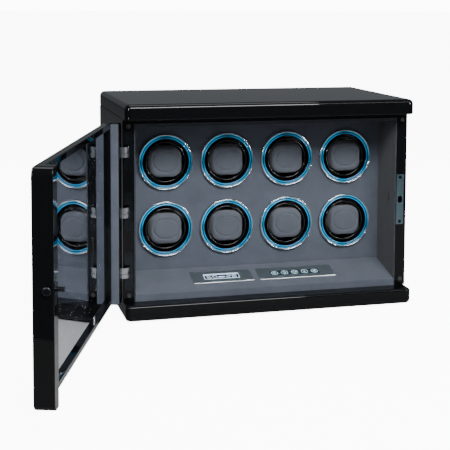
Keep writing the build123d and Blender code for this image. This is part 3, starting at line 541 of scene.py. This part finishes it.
remesh = cushion.modifiers.new("even", "REMESH")
remesh.mode = "VOXEL"
remesh.voxel_size = VOXEL
apply_modifiers(cushion)
before = corners_of(cushion)
cloth = cushion.modifiers.new("foam", "CLOTH")
cloth.settings.use_pressure = True
cloth.settings.uniform_pressure_force = PRESSURE
cloth.settings.quality = 6
cloth.settings.effector_weights.gravity = 0.0
cloth.point_cache.frame_start = 1
cloth.point_cache.frame_end = FRAMES
for frame_number in range(1, FRAMES + 1):
    bpy.context.scene.frame_set(frame_number)
apply_modifiers(cushion)
bpy.context.scene.frame_set(1)
moved = corners_of(cushion) - before
length = np.linalg.norm(moved, axis=1, keepdims=True)
before = before + moved * np.minimum(1, CAP / np.maximum(length, 1e-9))
move_to(cushion, before)
print("foam swelled by at most", round(float(length.max()) / MM, 2), "mm before the cap")
finer = cushion.modifiers.new("finer", "SUBSURF")
finer.levels = finer.render_levels = 1
apply_modifiers(cushion)
print("cushion", len(cushion.data.vertices), "points")


# %% Seam, oval and the eight cushions
FRONT_FROM, FRONT_OVER = 9 * MM, 5 * MM      # the pressed pattern fades out behind the face
OVAL_HALF = (24.0 * MM, 18.5 * MM)
OVAL_MEAN = 22 * MM            # turns the oval measure back into a distance
OVAL_UP = 0.5 * MM
OVAL_SINK = 0.5 * MM
LINE_WIDTH, LINE_DEPTH = 1.3 * MM, 1.3 * MM
SEAM_BACK, SEAM_WIDTH, SEAM_SHARE = 8.5 * MM, 0.9 * MM, 0.022
WAVE, WAVE_X, WAVE_Z = 0.25 * MM, 9 * MM, 11 * MM


def groove(distance, width, depth):
    """How far a point sinks: the depth times a bell curve of its distance from a line."""
    return depth * np.exp(-(distance / width) ** 2)


points = corners_of(cushion)
offset = points - cushion_mid
faces_front = np.clip((cushion_low.y + FRONT_FROM - points[:, 1]) / FRONT_OVER, 0, 1)
oval = np.hypot(offset[:, 0] / OVAL_HALF[0], (offset[:, 2] - OVAL_UP) / OVAL_HALF[1])
oval_line = (oval - 1) * OVAL_MEAN
pressed = groove(oval_line, LINE_WIDTH, LINE_DEPTH) - OVAL_SINK * (oval < 1)
points[:, 1] += pressed * faces_front
seam_line = points[:, 1] - (cushion_low.y + SEAM_BACK)
inward = 1 - groove(seam_line, SEAM_WIDTH, SEAM_SHARE)
points[:, 0] = cushion_mid[0] + (points[:, 0] - cushion_mid[0]) * inward
points[:, 2] = cushion_mid[2] + (points[:, 2] - cushion_mid[2]) * inward
move_to(cushion, points)

cushion_suede = suede("microfibre_suede_cushion", "3f434b", "5c616a", 0.3)
cushion.data.materials.clear()
cushion.data.materials.append(cushion_suede)
draw = np.random.default_rng(8)
for n in range(1, 9):
    shifted = points - cushion_mid + middle(f"cushion_{n}")
    wave = draw.uniform(0, 2 * pi, 3)
    across_pad = np.sin(shifted[:, 0] / WAVE_X + wave[0])
    soft = WAVE * across_pad * np.sin(shifted[:, 2] / WAVE_Z + wave[1])
    shifted[:, 1] += soft * faces_front
    pad = bpy.data.objects.new(f"suede_cushion_{n}", cushion.data.copy())
    bpy.context.scene.collection.objects.link(pad)
    move_to(pad, shifted)
    pad.data.polygons.foreach_set("use_smooth", np.ones(len(pad.data.polygons), bool))
    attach(pad, f"pad_{n}")
    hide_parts(f"cushion_{n}")
bpy.data.objects.remove(cushion)


# %% [markdown]
# **Shelf panels.** Two satin plates are let into the sloping shelf. The left one has a lit
# display behind a window, the right one a dark glass band with five touch keys. Their
# fronts are thin pieces that lie on the plates, so they are worked out on the shelf's own
# slope: along the shelf, down the shelf, and up from it.

# %% The shelf's slope
SLOPE = radians(15.0)
along_shelf = np.array([1.0, 0.0, 0.0])
down_shelf = np.array([0.0, -cos(SLOPE), -sin(SLOPE)])
off_shelf = np.array([0.0, -sin(SLOPE), cos(SLOPE)])


def plate_centre(name):
    """The middle of a plate's upper face. The box of a tilted plate of length L and thickness
    t is L cos + t sin deep and L sin + t cos high, which gives t, and half of it is added."""
    low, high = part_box(name)
    deep, tall = high.y - low.y, high.z - low.z
    thick = (tall - deep * sin(SLOPE) / cos(SLOPE)) * cos(SLOPE) / cos(2 * SLOPE)
    return middle(name) + off_shelf * thick / 2


def on_shelf(centre, u, v, w):
    """Points at u along, v down and w off the shelf, in mm, from a plate's centre."""
    place = np.multiply.outer(u, along_shelf) + np.multiply.outer(v, down_shelf)
    return centre + (place + np.multiply.outer(w, off_shelf)) * MM


def slab_on_shelf(centre, at, size, corner, high, bevel=0.15, count=32):
    """A thin rounded plate: two loops at its foot, two round its bevel, at the given heights."""
    loops = []
    for inset, w in ((0.3, 0.0), (0.0, 0.02), (0.0, high - bevel), (bevel, high)):
        u, v = rounded_loop(size[0] - 2 * inset, size[1] - 2 * inset, max(corner - inset, 0.05), count)
        loops.append(on_shelf(centre, u + at[0], v + at[1], np.full(count, w)))
    return np.array(loops)


def ring_on_shelf(centre, at, radius, wall, high, count=48):
    """A flat ring: a small rectangle of wall and height carried round a circle."""
    angle = np.linspace(0, 2 * pi, count, endpoint=False)
    loops = []
    for r, w in ((radius - wall, 0.0), (radius - wall, high), (radius, high), (radius, 0.0)):
        u, v = at[0] + r * np.cos(angle), at[1] + r * np.sin(angle)
        loops.append(on_shelf(centre, u, v, np.full(count, w)))
    return np.array(loops)


display_at, touch_at = plate_centre("display_panel"), plate_centre("touch_panel")
print("plates at", np.round(display_at / MM, 1), np.round(touch_at / MM, 1))


def shelf_piece(name, parts, material):
    """One piece from several thin shapes on the shelf, riding on the cabinet."""
    made = [build(f"{name}_{n}", loops, material, ring=ring) for n, (loops, ring) in enumerate(parts)]
    with bpy.context.temp_override(active_object=made[0], selected_editable_objects=made):
        bpy.ops.object.join()
    made[0].name = name
    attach(made[0], "cabinet")
    return made[0]


# %% Finishes of the panels
def lit_face(name, dark, light, glow_code, strength, grain):
    """A lit face under glass: its colour, with a faint unevenness, also glows."""
    material, tree, place = new_material(name)
    uneven = add(tree, "TexNoise", {"Vector": place, "Scale": grain, "Detail": 2.0})
    face = add(tree, "BsdfPrincipled", {
        "Base Color": between(tree, uneven.outputs["Fac"], dark, light),
        "Roughness": 0.08,
        "Emission Color": linear(glow_code),
        "Emission Strength": spread(tree, uneven.outputs["Fac"], 0.7 * strength, 1.3 * strength),
    })
    close_tree(tree, face)
    return material


lcd_white = lit_face("display_lit_white", "b9d4e6", "e6f2fa", "cfe8ff", 0.9, 60.0)
lcd_blue = lit_face("display_field_blue", "0a1a38", "10264c", "123a7c", 0.08, 200.0)
key_white = lit_face("touch_key_lit_white", "a9c6d0", "d8ecf2", "c4e6f2", 0.5, 300.0)
band_glass = moulded("touch_band_printed_glass", "10222b", "1b3440", 0.05, 0.1, 80.0)
edge_bright = metal("aluminium_edge_polished", "e4e7ea", 0.28, 0.34, depth=0.001)


# %% The display
WINDOW = (67.0, 19.0)
window_at = (-0.5, -1.5)
window = slab_on_shelf(display_at, window_at, WINDOW, 1.0, 0.25)
shelf_piece("display_window", [(window, False)], lcd_white)

# seven bars make a digit: place in units of half its width and height, then how it lies
BARS = {
    "top": (0, -1, True), "middle": (0, 0, True), "bottom": (0, 1, True),
    "top_left": (-1, -0.5, False), "top_right": (1, -0.5, False),
    "low_left": (-1, 0.5, False), "low_right": (1, 0.5, False),
}
LIT = {
    "0": ["top", "bottom", "top_left", "top_right", "low_left", "low_right"],
    "2": ["top", "middle", "bottom", "top_right", "low_left"],
    "6": ["top", "middle", "bottom", "top_left", "low_left", "low_right"],
    "8": list(BARS),
}
DIGIT = (3.6, 4.6)             # half width and half height of a digit
MARK_HIGH, MARK_BEVEL = 0.48, 0.05
field = slab_on_shelf(display_at, (window_at[0], window_at[1] + 2.0), (65.0, 13.6), 0.8, 0.34)
shelf_piece("display_field", [(field, False)], lcd_blue)
marks = []
for place, digit in zip((-24.0, -13.0, 13.0, 24.0), "6028"):
    for bar in LIT[digit]:
        right_by, down_by, flat = BARS[bar]
        at = (window_at[0] + place + right_by * DIGIT[0], window_at[1] + 2.2 + down_by * DIGIT[1])
        bar_size = (6.0, 1.0) if flat else (1.0, 3.4)
        marks.append((slab_on_shelf(display_at, at, bar_size, 0.5, MARK_HIGH, MARK_BEVEL, 16), False))
status_at = (window_at[0], window_at[1] + 3.4)
marks.append((slab_on_shelf(display_at, status_at, (13.0, 3.6), 1.7, MARK_HIGH, MARK_BEVEL, 24), False))
shelf_piece("display_marks", marks, lcd_white)


# %% The touch keys
KEY_PITCH, KEY_R = 19.7, 6.6
first_key = 25.2 - touch_at[0] / MM
keys_at = [(first_key + n * KEY_PITCH, -0.2) for n in range(5)]
band = slab_on_shelf(touch_at, (keys_at[2][0], -0.2), (5 * KEY_PITCH - 1, 17.5), 3.0, 0.2)
shelf_piece("touch_band", [(band, False)], band_glass)

signs = [(ring_on_shelf(touch_at, at, KEY_R, 0.9, 0.35), True) for at in keys_at]


def dash(at, size, corner=0.4):
    """A short rounded bar of a key's sign."""
    signs.append((slab_on_shelf(touch_at, at, size, corner, 0.35, 0.05, 16), False))


def inner_ring(at, radius, wall=0.8):
    """A ring inside a key's own ring."""
    signs.append((ring_on_shelf(touch_at, at, radius, wall, 0.35, 32), True))


power, lamp_key, direction, start, setting = keys_at
inner_ring(power, 3.2)
dash((power[0], power[1] - 2.6), (1.0, 4.2))
inner_ring((lamp_key[0], lamp_key[1] - 0.8), 2.4)
dash((lamp_key[0], lamp_key[1] + 2.9), (2.8, 1.0))
dash((lamp_key[0], lamp_key[1] + 4.1), (1.8, 0.7), 0.3)
inner_ring(direction, 3.4)
dash((direction[0] + 3.2, direction[1] - 1.4), (2.4, 2.4), 0.3)
for step in range(4):
    dash((start[0] - 1.2 + step, start[1]), (1.0, 5.2 - 1.4 * step), 0.3)
inner_ring(setting, 2.0, 1.0)
for turn_by in range(6):
    toward = radians(60 * turn_by)
    dash((setting[0] + 3.4 * cos(toward), setting[1] + 3.4 * sin(toward)), (1.3, 1.3), 0.5)
shelf_piece("touch_signs", signs, key_white)


# %% Polished lower edges of the plates
def lower_edge(name, node):
    """A rounded strip along a plate's lower edge: three loops of a low arch, end to end."""
    low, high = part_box(node)
    centre = plate_centre(node)
    half = (high.x - low.x) / 2 / MM
    drop = (high.y - low.y) / 2 / cos(SLOPE) / MM - 0.55
    around = np.linspace(0, 2 * pi, 16, endpoint=False)
    loops = []
    for u in (-half + 0.3, -half + 0.8, half - 0.8, half - 0.3):
        size = 0.85 if abs(u) < half - 0.5 else 0.6
        v, w = drop + size * np.cos(around), 0.25 + size * np.sin(around)
        loops.append(on_shelf(centre, np.full(16, u), v, w))
    piece = build(name, np.array(loops), edge_bright)
    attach(piece, "cabinet")


lower_edge("display_lower_edge", "display_panel")
lower_edge("touch_lower_edge", "touch_panel")


# %% [markdown]
# The table is one pale sheet that runs out of sight. To the camera it and the room are
# nearly white, as on a lit sweep. To anything that mirrors them they are dim, as in a
# studio hung with black cloth, so the lacquer stays black. A big soft box stands above and
# in front. A long strip draws the line of light along the slab's rounded front edge. Two
# narrow ones at the sides draw highlights on the chrome and the cups, and light nothing else.

# %% Table and light
def soft_box(name, at, towards, wide, high, watts, matt=True):
    """A rectangular lamp at a point, facing another point. A soft box that only draws
    highlights is hidden from matt surfaces."""
    data = bpy.data.lights.new(name, "AREA")
    data.shape = "RECTANGLE"
    data.size = wide
    data.size_y = high
    data.energy = watts
    box = bpy.data.objects.new(name, data)
    back = np.array(at, float) - np.array(towards, float)
    back /= np.linalg.norm(back)
    side = np.cross((0.0, 0.0, 1.0), back)
    side /= np.linalg.norm(side)
    aim = Matrix(np.column_stack([side, np.cross(back, side), back]).tolist()).to_4x4()
    box.matrix_world = Matrix.Translation(at) @ aim
    box.visible_diffuse = matt
    bpy.context.scene.collection.objects.link(box)


soft_box("soft_box_key", (0.1, -1.9, 1.75), (0.0, 0.0, 0.2), 1.5, 0.6, 84.0)
soft_box("soft_box_strip", (0.45, -1.6, 1.95), (0.0, 0.0, 0.38), 3.0, 0.05, 20.0)
soft_box("soft_box_left", (-1.7, -1.5, 0.9), (0.0, 0.0, 0.2), 0.16, 0.9, 40.0, matt=False)
soft_box("soft_box_right", (1.6, -1.7, 0.9), (0.0, 0.0, 0.2), 0.16, 0.9, 40.0, matt=False)
soft_box("soft_box_top", (0.0, 0.2, 2.4), (0.0, 0.0, 0.3), 1.6, 1.0, 20.0)

world = bpy.data.worlds.new("dark_hung_studio")
world.use_nodes = True
sky = world.node_tree
sky.nodes.clear()
path = add(sky, "LightPath")
for_eye = add(sky, "Background", {"Color": linear("fbfcff"), "Strength": 12.0})
for_gloss = add(sky, "Background", {"Color": linear("dfe6ee"), "Strength": 0.2})
for_matt = add(sky, "Background", {"Color": linear("e8edf4"), "Strength": 0.28})
is_gloss, is_camera = path.outputs["Is Glossy Ray"], path.outputs["Is Camera Ray"]
unseen = add(sky, "MixShader", {0: is_gloss, 1: for_matt.outputs[0], 2: for_gloss.outputs[0]})
room = add(sky, "MixShader", {0: is_camera, 1: unseen.outputs[0], 2: for_eye.outputs[0]})
add(sky, "OutputWorld", {"Surface": room.outputs[0]})
bpy.context.scene.world = world

TABLE = ((-30.0, -1.0), (30.0, 60.0))
(left, near), (right_side, far) = TABLE
table_mesh = bpy.data.meshes.new("table")
table_mesh.from_pydata(
    [(left, near, 0.0), (right_side, near, 0.0), (right_side, far, 0.0), (left, far, 0.0)],
    [], [(0, 1, 2, 3)],
)
table = bpy.data.objects.new("table", table_mesh)
bpy.context.scene.collection.objects.link(table)
laminate, tree, place = new_material("table_white_acrylic")
eye = add(tree, "LightPath").outputs["Is Camera Ray"]
# painted light: to bounced rays and in mirrors the table is grey with a painted pool of light, lighter
# in front of the cabinet and darker further off
near_by = add(tree, "Mapping", {"Vector": place, "Location": (0.0, 0.25, 0.0), "Scale": (0.9, 0.9, 0.9)})
painted_light_pool = add(tree, "TexGradient", {"Vector": near_by.outputs["Vector"]}, gradient_type="SPHERICAL")
matt = add(tree, "BsdfDiffuse", {"Color": linear("f4f5f7")})
lit = add(tree, "Emission", {"Color": linear("ffffff"), "Strength": 11.2})
flat = add(tree, "AddShader", {0: matt.outputs[0], 1: lit.outputs[0]})
shine = add(tree, "BsdfGlossy", {"Color": linear("ffffff"), "Roughness": 0.1})
top = add(tree, "MixShader", {0: 0.12, 1: flat.outputs[0], 2: shine.outputs[0]})
bounce = add(tree, "BsdfDiffuse", {"Color": between(tree, painted_light_pool.outputs["Fac"], "848484", "a8a8a8")})
both = add(tree, "MixShader", {0: eye, 1: bounce.outputs[0], 2: top.outputs[0]})
close_tree(tree, both)
table_mesh.materials.append(laminate)
